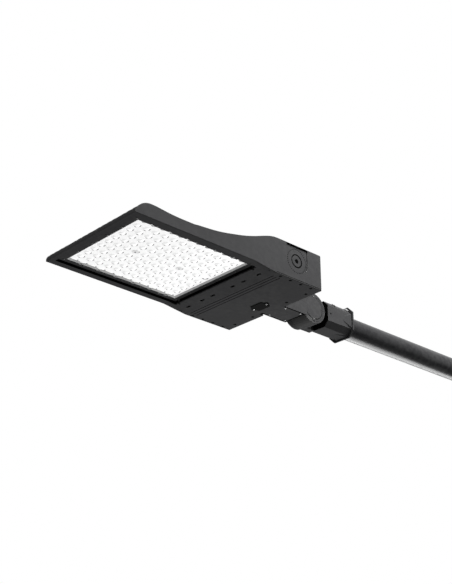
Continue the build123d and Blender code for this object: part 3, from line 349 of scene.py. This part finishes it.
# painted shade: near black in the lens opening and the slots, along the cover's grooves and in the gap behind
# the drum
openingShade = dict(
    color=(0.002, 0.002, 0.002), rear=196.6, front=558.0, near=-145.2, far=145.2, low=-21.5, top=-3.0
)
slotShade = dict(color=(0.002, 0.002, 0.002), rear=167.6, front=174.4, low=-27.1, top=-18.0)
slotRow = dict(middles=(-125.4, -73.6, -35.4, 35.4, 73.6, 125.4), half=8.0)
coverGrooveShade = dict(color=(0.004, 0.004, 0.004), near=-148.0, far=148.0, low=-30.5, top=-29.1)
coverGrooveShadeRow = dict(middles=(125.0, 135.0, 145.0), half=1.1)
gapShade = dict(
    color=(0.004, 0.004, 0.004), rear=-160.2, front=-149.5, near=-58.5, far=14.2, low=-65.0, top=65.0
)

# painted shade along the edges of the groove round the neck cover, broken at the front
grooveEdgeShade = dict(color=(0.003, 0.003, 0.003), low=-27.1, top=-23.2)
grooveShadeBars = [
    dict(rear=-76.4, front=12.4, near=-35.4, far=-31.2),
    dict(rear=-76.4, front=12.4, near=31.2, far=35.4),
    dict(rear=-76.4, front=-72.0, near=-35.4, far=35.4),
    dict(rear=8.2, front=12.4, near=-35.4, far=-9.0),
    dict(rear=8.2, front=12.4, near=12.0, far=35.4),
]

# painted light: lighter paint on the low front of the drum and on the rear wall of each pivot recess, as if
# lit from the front
drumFaceLight = dict(
    color=(0.058, 0.058, 0.058), rear=-108.0, front=-76.5, near=-36.2, far=14.2, low=-42.0, top=-26.8
)
paintedWallLight = dict(color=(0.12, 0.12, 0.12), rear=44.9, front=45.7, low=20.0, top=57.0)
paintedWallLightRow = dict(middles=(-162.8, 162.8), half=1.4)

# painted light: the bevel and notches round the lens window made bright, as if lit by the lens
bevelLight = dict(
    color=(0.6, 0.6, 0.6), rear=208.1, front=538.9, near=-133.2, far=133.2, low=-15.55, top=-11.8
)


def makeBodyMarks():
    slotHalf, lineHalf, wallHalf = slotRow["half"], coverGrooveShadeRow["half"], paintedWallLightRow["half"]
    marks = [paintMark(**openingShade), paintMark(**gapShade)]
    marks += [paintMark(near=y - slotHalf, far=y + slotHalf, **slotShade) for y in slotRow["middles"]]
    marks.append(paintMark(**drumFaceLight))
    marks += [paintMark(**bar, **grooveEdgeShade) for bar in grooveShadeBars]
    marks += [paintMark(rear=u - lineHalf, front=u + lineHalf, **coverGrooveShade) for u in coverGrooveShadeRow["middles"]]
    marks += [paintMark(near=y - wallHalf, far=y + wallHalf, **paintedWallLight) for y in paintedWallLightRow["middles"]]
    return marks


bodyPaintLook = dict(bodyLook, boxes=makeBodyMarks())
frameLook = dict(
    bodyLook, color=(0.037, 0.037, 0.038), patch=(0.04, 0.04, 0.041), boxes=[paintMark(**bevelLight)]
)
tubeLook = dict(
    bodyLook, color=(0.013, 0.013, 0.014), patch=(0.014, 0.014, 0.015),
    roughness=0.3, gloss=0.12, spread=0.015, grain=500.0, bump=0.05,
)
darkLook = dict(
    bodyLook, color=(0.012, 0.012, 0.012), patch=(0.014, 0.014, 0.014), roughness=0.6, wear=0.0
)
rubberLook = dict(darkLook, color=(0.002, 0.002, 0.002), patch=(0.003, 0.003, 0.003), roughness=0.8)
steelLook = dict(
    bodyLook, color=(0.26, 0.26, 0.26), patch=(0.3, 0.3, 0.3), edge=(0.4, 0.4, 0.4),
    roughness=0.5, gloss=0.5, metal=1.0, grain=400.0, bump=0.05,
)
blackSteelLook = dict(steelLook, color=(0.02, 0.02, 0.02), patch=(0.03, 0.03, 0.03), edge=(0.1, 0.1, 0.1))
caseLook = dict(steelLook, color=(0.45, 0.45, 0.45), patch=(0.5, 0.5, 0.5), roughness=0.45)
dullSteelLook = dict(steelLook, color=(0.11, 0.11, 0.11), patch=(0.13, 0.13, 0.13), edge=(0.2, 0.2, 0.2))
# darker steel for the cap screws, and for the painted highlight bead in each pivot recess
screwSteelAndHighlightLook = dict(steelLook, color=(0.1, 0.1, 0.1), patch=(0.12, 0.12, 0.12))

# painted shade and light on the rows of optics on the lens, and the two bosses among them
lensOpticShade = dict(
    first=headPoint(227.8, -0.8, 0), pitch=(0.02608, 0.0256, 0), inner=0.0026, outer=0.0084, fade=0.0014,
    clear=(-0.675, -0.738, 0), color=(0.17, 0.17, 0.17), paintedLight=(0.68, 0.68, 0.68),
)
lensBoss = dict(forward=(309.04, 439.44), radius=8.3, fade=0.8, color=(0.43, 0.43, 0.43))
lensBossMarks = [
    dict(
        centre=headPoint(u, 0, 0), radius=lensBoss["radius"] * mm, fade=lensBoss["fade"] * mm,
        color=lensBoss["color"],
    )
    for u in lensBoss["forward"]
]
# the lens glows in its own colour: painted light, so it reads white under any lamp and its domes show less of
# their shading
lensLook = dict(
    bodyLook, color=(0.56, 0.56, 0.56), patch=(0.57, 0.57, 0.57), edge=(0.58, 0.58, 0.58),
    roughness=0.3, spread=0.0, gloss=0.03, bump=0.0, wear=0.0, glow=0.95,
    optics=[lensOpticShade], spots=lensBossMarks,
)
boardLook = dict(
    lensLook, color=(0.8, 0.8, 0.8), patch=(0.82, 0.82, 0.82), spots=(), optics=(), glow=0.0
)
ledLook = dict(boardLook, color=(0.85, 0.7, 0.2), patch=(0.9, 0.75, 0.25), roughness=0.4)

slotLooks = {
    "body_paint": bodyPaintLook,
    "frame_paint": frameLook,
    "tube_paint": tubeLook,
    "dark_plate": darkLook,
    "lens": lensLook,
    "board": boardLook,
    "led": ledLook,
    "steel": steelLook,
    "dark_steel": blackSteelLook,
    "rubber": rubberLook,
    "cable": dict(rubberLook, roughness=0.5),
    "driver_case": caseLook,
    "plastic": dict(rubberLook, color=(0.05, 0.05, 0.05), patch=(0.06, 0.06, 0.06), roughness=0.5),
}
materials = {slot: paintMaterial(slot, look) for slot, look in slotLooks.items()}
dullSteel = paintMaterial("dullSteel", dullSteelLook)
screwSteelAndHighlight = paintMaterial("screwSteelAndHighlight", screwSteelAndHighlightLook)
for part in frame["record"]["subparts"]:
    for holder in nodes[part["node"]].material_slots:
        holder.material = materials[part["material_slot"]]
print("materials:", len(materials))


sharpAngle = 35  # degrees


def newPiece(name, shape, body, slot, material=None):
    mesh = bpy.data.meshes.new(name)
    shape.to_mesh(mesh)
    shape.free()
    for face in mesh.polygons:
        face.use_smooth = True
    mesh.set_sharp_from_angle(angle=radians(sharpAngle))
    mesh.materials.append(material or materials[slot])
    piece = bpy.data.objects.new(name, mesh)
    bpy.context.scene.collection.objects.link(piece)
    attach(piece, body)
    return piece


def addCylinder(shape, radius, depth, segments, place):
    bmesh.ops.create_cone(
        shape, cap_ends=True, segments=segments, radius1=radius, radius2=radius, depth=depth, matrix=place
    )


# a screw along +Z with its seat at the origin: rounded head, hex socket, shank below
def screwShape(look):
    shape = bmesh.new()
    head, tall = look["head"] / 2 * mm, look["tall"] * mm
    addCylinder(shape, head, tall, look["headSides"], Matrix.Translation((0, 0, tall / 2)))
    top = [edge for edge in shape.edges if all(vert.co.z > tall / 2 for vert in edge.verts)]
    bmesh.ops.bevel(
        shape, geom=top, offset=look["round"] * mm, offset_type="OFFSET", segments=2,
        profile=0.5, affect="EDGES", material=-1,
    )
    cap = max(shape.faces, key=lambda face: face.calc_center_median().z)
    bmesh.ops.inset_individual(shape, faces=[cap], thickness=head * look["rim"], depth=0)
    flat = look["socket"] / 2 * mm
    for vert in cap.verts:
        angle = Vector((1, 0)).angle_signed(vert.co.xy)
        reach = flat / cos((angle % (pi / 3)) - pi / 6)
        vert.co.xy = vert.co.xy.normalized() * reach
    bmesh.ops.inset_individual(shape, faces=[cap], thickness=look["taper"] * mm, depth=-look["deep"] * mm)
    length = look["length"] * mm
    below = Matrix.Translation((0, 0, -length / 2))
    addCylinder(shape, look["shank"] / 2 * mm, length, look["shankSides"], below)
    bmesh.ops.recalc_face_normals(shape, faces=shape.faces)
    return shape


def makeScrews(name, node, body, slot, look):
    pattern = bpy.data.meshes.new(name + "Pattern")
    single = screwShape(look)
    single.to_mesh(pattern)
    single.free()
    shape = bmesh.new()
    for count, place in enumerate(look["places"]):
        before = len(shape.verts)
        shape.from_mesh(pattern)
        shape.verts.ensure_lookup_table()
        turn = look["turn"] @ Matrix.Rotation(count * look["spin"], 4, "Z")
        bmesh.ops.transform(shape, verts=shape.verts[before:], matrix=Matrix.Translation(place) @ turn)
    bpy.data.meshes.remove(pattern)
    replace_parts(newPiece(name, shape, body, slot, look.get("material")), node)


faceDown = Matrix.Rotation(pi, 4, "X")
faceNear = Matrix.Rotation(pi / 2, 4, "X")
smallScrew = dict(
    head=3.9, tall=0.7, round=0.3, rim=0.2, socket=2.3, deep=0.5, taper=0.02, shank=3.0,
    headSides=24, shankSides=12, spin=1.1, turn=faceDown,
)


# one row of screws round the lens frame, 6 along each end and 7 along each side with the corners,
# and the screws of the driver cover
frameRow = dict(rear=203.5, front=541.5, side=134.1, z=-15.7, alongEnd=6, alongSide=7)
coverRow = dict(
    forward=(29.4, 63.4, 97.5, 130.9), side=156.2, rear=14.3, rearSide=(60.0, 125.9), z=-28.2
)


def frameScrewPlaces():
    rear, front, side, z = frameRow["rear"], frameRow["front"], frameRow["side"], frameRow["z"]
    pitch = (front - rear) / (frameRow["alongSide"] - 1)
    steps = [rear + i * pitch for i in range(1, frameRow["alongSide"] - 1)]
    across = 2 * side / (frameRow["alongEnd"] - 1)
    ends = [headPoint(u, i * across - side, z) for u in (rear, front) for i in range(frameRow["alongEnd"])]
    return ends + [headPoint(u, way * side, z) for u in steps for way in (-1, 1)]


def coverScrewPlaces():
    z = coverRow["z"]
    sides = [headPoint(u, way * coverRow["side"], z) for u in coverRow["forward"] for way in (-1, 1)]
    return sides + [headPoint(coverRow["rear"], way * y, z) for y in coverRow["rearSide"] for way in (-1, 1)]


tiltAxis = -108.0  # the knuckle bolt, 108 mm behind the rear face of the head

screwRows = {
    "frameScrewHeads": dict(
        smallScrew, node="frame_screws", slot="steel", head=4.2, tall=1.0, round=0.4, socket=2.0, deep=0.6,
        shank=2.5, length=12.9, places=frameScrewPlaces(), material=dullSteel,
    ),
    "lensBossScrewHeads": dict(
        smallScrew, node="lens_boss_screws", slot="steel", length=10.8,
        places=[headPoint(u, 0, -13.5) for u in lensBoss["forward"]],
    ),
    # painted shade: the cover screws take the near-black rubber material, as they sit in shaded bores
    "coverScrewHeads": dict(
        smallScrew, node="driver_cover_screws", slot="dark_steel", length=12.0,
        places=coverScrewPlaces(), material=materials["rubber"],
    ),
    "accessScrewHeads": dict(
        smallScrew, node="access_screws", slot="steel", length=7.8,
        places=[headPoint(46.25, way * 22.5, -32.2) for way in (-1, 1)],
    ),
    "neckScrewHeads": dict(
        smallScrew, node="neck_cover_screws", slot="steel", length=11.8,
        places=[headPoint(u, way * 27.7, -26.7) for u in (-14.3, -67.0) for way in (-1, 1)],
    ),
    "capScrewHeads": dict(
        smallScrew, node="knuckle_cap_screws", slot="steel", length=10.4, turn=faceNear, head=3.8,
        material=screwSteelAndHighlight,
        places=[headPoint(tiltAxis, -36.0, way * 30.6) for way in (-1, 1)],
    ),
}
for name, row in screwRows.items():
    makeScrews(name, row["node"], "head", row["slot"], row)
print("screw rows:", len(screwRows))


# a ring of small dark marks on a face that looks along -Y or +Y
def addMarks(shape, look, middle):
    for angle in look["angles"]:
        x = middle.x + look["ring"] * mm * cos(radians(angle))
        z = middle.z + look["ring"] * mm * sin(radians(angle))
        place = Matrix.Translation((x, middle.y, z)) @ Matrix.Rotation(pi / 2, 4, "X")
        addCylinder(shape, look["dot"] / 2 * mm, 2 * look["proud"] * mm, look["sides"], place)


pivotPlace = dict(forward=80.3, z=23.7, face=161.5)
drumPlace = dict(forward=tiltAxis, z=0, face=-35.0)
pivotMarks = dict(ring=30.5, dot=2.6, proud=0.12, sides=8, angles=range(5, 365, 10))
drumMarks = dict(ring=36.0, dot=2.2, proud=0.12, sides=8, angles=range(-72, 73, 8))
drumTeeth = dict(ring=30.8, dot=2.4, proud=0.12, sides=8, angles=range(-72, 73, 6))


# the middle of the pivot on one side, sunk below the floor of its recess
def pivotMiddle(side, sunk=0.0):
    return headPoint(pivotPlace["forward"], side * (pivotPlace["face"] - sunk), pivotPlace["z"])


def makeMarks():
    shape = bmesh.new()
    for side in (-1, 1):
        addMarks(shape, pivotMarks, pivotMiddle(side))
    newPiece("pivotMarks", shape, "head", "rubber")
    shape = bmesh.new()
    middle = headPoint(drumPlace["forward"], drumPlace["face"], drumPlace["z"])
    for look in (drumMarks, drumTeeth):
        addMarks(shape, look, middle)
    newPiece("drumMarks", shape, "head", "rubber")


makeMarks()
print("marks on the pivots and the drum")


# adds a finished part to the shape of its piece
def joinShape(shape, part):
    mesh = bpy.data.meshes.new("joined")
    part.to_mesh(mesh)
    part.free()
    shape.from_mesh(mesh)
    bpy.data.meshes.remove(mesh)


# a flat ring that lies in a face looking along -Y or +Y
def addWasher(shape, look, middle, side):
    inner, outer, thick = look["inner"] * mm, look["outer"] * mm, look["thick"] * mm
    ring = bmesh.new()
    corners = ((inner, 0, 0), (outer, 0, 0), (outer, 0, -thick), (inner, 0, -thick))
    loop = [ring.verts.new(point) for point in corners]
    edges = [ring.edges.new((loop[i], loop[(i + 1) % 4])) for i in range(4)]
    bmesh.ops.spin(
        ring, geom=loop + edges, cent=(0, 0, 0), axis=(0, 0, 1), angle=2 * pi, steps=look["steps"],
        use_merge=True, use_duplicate=False,
    )
    turn = Matrix.Translation(middle) @ Matrix.Rotation(side * -pi / 2, 4, "X")
    bmesh.ops.transform(ring, verts=ring.verts, matrix=turn)
    joinShape(shape, ring)


# painted shade on each pivot plug: a black ring in the groove round it and a black hex in its socket
plugGrooveShade = dict(inner=15.5, outer=17.9, thick=1.6, steps=48, sunk=0.5)
socketShade = dict(flats=10.8, sunk=0.7, thick=2.0)


def makePlugShades():
    shape = bmesh.new()
    for side in (-1, 1):
        addWasher(shape, plugGrooveShade, pivotMiddle(side, plugGrooveShade["sunk"]), side)
        middle = pivotMiddle(side, socketShade["sunk"] + socketShade["thick"] / 2)
        place = Matrix.Translation(middle) @ Matrix.Rotation(pi / 2, 4, "X") @ Matrix.Rotation(pi / 6, 4, "Z")
        reach = socketShade["flats"] / 2 / cos(pi / 6) * mm
        addCylinder(shape, reach, socketShade["thick"] * mm, 6, place)
    bmesh.ops.recalc_face_normals(shape, faces=shape.faces)
    newPiece("plugShades", shape, "head", "rubber")


# painted highlight: a thin bright bead along the lower rear edge of each pivot recess
recessHighlightArc = dict(radius=35.1, wire=0.2, first=-80, last=0, steps=20, wireSides=8, side=163.65)


# a thin bead along an arc in the XZ plane
def addArc(shape, look, middle):
    wire = bmesh.new()
    bmesh.ops.create_circle(
        wire, cap_ends=False, segments=look["wireSides"], radius=look["wire"] * mm,
        matrix=Matrix.Translation((look["radius"] * mm, 0, 0)),
    )
    turn = Matrix.Rotation(radians(-look["first"]), 4, "Y")
    bmesh.ops.transform(wire, verts=wire.verts, matrix=turn)
    bmesh.ops.spin(
        wire, geom=wire.verts[:] + wire.edges[:], cent=(0, 0, 0), axis=(0, -1, 0),
        angle=radians(look["last"] - look["first"]), steps=look["steps"], use_duplicate=False,
    )
    bmesh.ops.holes_fill(wire, edges=[edge for edge in wire.edges if edge.is_boundary], sides=0)
    bmesh.ops.translate(wire, verts=wire.verts, vec=middle)
    joinShape(shape, wire)


def makeRecessHighlight():
    shape = bmesh.new()
    for side in (-1, 1):
        middle = headPoint(pivotPlace["forward"], side * recessHighlightArc["side"], pivotPlace["z"])
        addArc(shape, recessHighlightArc, middle)
    bmesh.ops.recalc_face_normals(shape, faces=shape.faces)
    newPiece("recessHighlightBead", shape, "head", "steel", screwSteelAndHighlight)


# painted shade: a black strip in the groove round the neck cover
neckGrooveShade = dict(rear=-75.6, front=11.8, half=34.8, wide=2.9, top=-23.9, low=-26.3)


def makeNeckGrooveShade():
    shape = bmesh.new()
    look = neckGrooveShade
    rear, front, half, wide = look["rear"], look["front"], look["half"], look["wide"]
    tall, level = look["top"] - look["low"], (look["top"] + look["low"]) / 2
    inner = half - wide
    bars = [
        (rear, front, -half, -inner), (rear, front, inner, half),
        (front - wide, front, -inner, inner), (rear, rear + wide, -inner, inner),
    ]
    for start, end, near, far in bars:
        size = Matrix.Diagonal(((end - start) * mm, (far - near) * mm, tall * mm, 1))
        middle = headPoint((start + end) / 2, (near + far) / 2, level)
        bmesh.ops.create_cube(shape, size=1, matrix=Matrix.Translation(middle) @ size)
    bmesh.ops.recalc_face_normals(shape, faces=shape.faces)
    newPiece("neckGrooveShade", shape, "head", "rubber")


makePlugShades()
makeRecessHighlight()
makeNeckGrooveShade()
# the plug seals and neck seal in this print are black pieces of painted shade, the rubbed edges the painted
# highlight beads
print("plug seals, rubbed edges and neck seal")


stageLook = dict(
    floorX=-0.65, floorZ=-3.2, floorSize=24.0, floorColor=(0.82, 0.82, 0.82), floorRoughness=0.9,
    floorGlow=0.62, worldLight=0.03,
)


# the glow reaches only the camera, so the floor looks pale, keeps its shadow and lights nothing
def makeFloor():
    mesh = bpy.data.meshes.new("floor")
    shape = bmesh.new()
    bmesh.ops.create_grid(shape, x_segments=1, y_segments=1, size=stageLook["floorSize"] / 2)
    bmesh.ops.translate(shape, verts=shape.verts, vec=(stageLook["floorX"], 0, stageLook["floorZ"]))
    shape.to_mesh(mesh)
    shape.free()
    floor = bpy.data.objects.new("floor", mesh)
    bpy.context.scene.collection.objects.link(floor)
    material, tree, shader = newMaterial("floorPaint")
    shader.inputs["Base Color"].default_value = (*stageLook["floorColor"], 1)
    shader.inputs["Roughness"].default_value = stageLook["floorRoughness"]
    shader.inputs["Emission Color"].default_value = (1, 1, 1, 1)
    seen = addNode(tree, "LightPath").outputs["Is Camera Ray"]
    glow = mathNode(tree, "MULTIPLY", seen, stageLook["floorGlow"])
    tree.links.new(glow, shader.inputs["Emission Strength"])
    mesh.materials.append(material)


# white to the camera and in reflections, and very little light on the object
def makeWorld():
    world = bpy.data.worlds.new("studio")
    bpy.context.scene.world = world
    world.use_nodes = True
    tree = world.node_tree
    tree.nodes.clear()
    path = addNode(tree, "LightPath")
    seen = mathNode(tree, "MAXIMUM", path.outputs["Is Camera Ray"], path.outputs["Is Glossy Ray"])
    seen = mathNode(tree, "MAXIMUM", seen, path.outputs["Is Transmission Ray"])
    strength = remap(tree, seen, 0.0, 1.0, stageLook["worldLight"], 1.0)
    background = addNode(tree, "Background", Color=(1, 1, 1, 1), Strength=strength)
    output = addNode(tree, "OutputWorld")
    tree.links.new(background.outputs["Background"], output.inputs["Surface"])


lamps = {
    "sideBox": dict(direction=(0.2, -0.6, 0.76), distance=2.2, size=1.3, power=168.0),
    "underBox": dict(direction=(0.88, 0.55, -0.62), distance=1.4, size=1.0, power=29.0),
    "topBox": dict(direction=(-0.62, -0.1, 0.78), distance=3.0, size=1.6, power=70.0),
    "farBox": dict(direction=(0.1, 0.95, 0.25), distance=3.5, size=2.5, power=60.0),
}


def makeLamps():
    aim = (cadBox[0] + cadBox[1]) / 2
    for name, lamp in lamps.items():
        data = bpy.data.lights.new(name, "AREA")
        data.shape = "SQUARE"
        data.size = lamp["size"]
        data.energy = lamp["power"]
        holder = bpy.data.objects.new(name, data)
        holder.visible_camera = False
        direction = Vector(lamp["direction"]).normalized()
        holder.location = aim + direction * lamp["distance"]
        holder.rotation_mode = "QUATERNION"
        holder.rotation_quaternion = direction.to_track_quat("Z", "Y")
        bpy.context.scene.collection.objects.link(holder)


cameraLook = dict(
    place=(-2.70989, -1.97938, -1.25365), heading=47.564, climb=24.583, lens=75.54, sensor=36.0
)


def makeCamera():
    data = bpy.data.cameras.new("camera")
    data.sensor_fit = "AUTO"
    data.sensor_width = cameraLook["sensor"]
    data.lens = cameraLook["lens"]
    holder = bpy.data.objects.new("camera", data)
    heading, climb = radians(cameraLook["heading"]), radians(cameraLook["climb"])
    forward = Vector((cos(climb) * cos(heading), cos(climb) * sin(heading), sin(climb)))
    turn = (-forward).to_track_quat("Z", "Y").to_matrix().to_4x4()
    holder.matrix_world = Matrix.Translation(cameraLook["place"]) @ turn
    bpy.context.scene.collection.objects.link(holder)
    bpy.context.scene.camera = holder


makeFloor()
makeWorld()
makeLamps()
makeCamera()
bpy.context.scene.view_settings.view_transform = "Standard"
print("stage, lamps and camera ready")
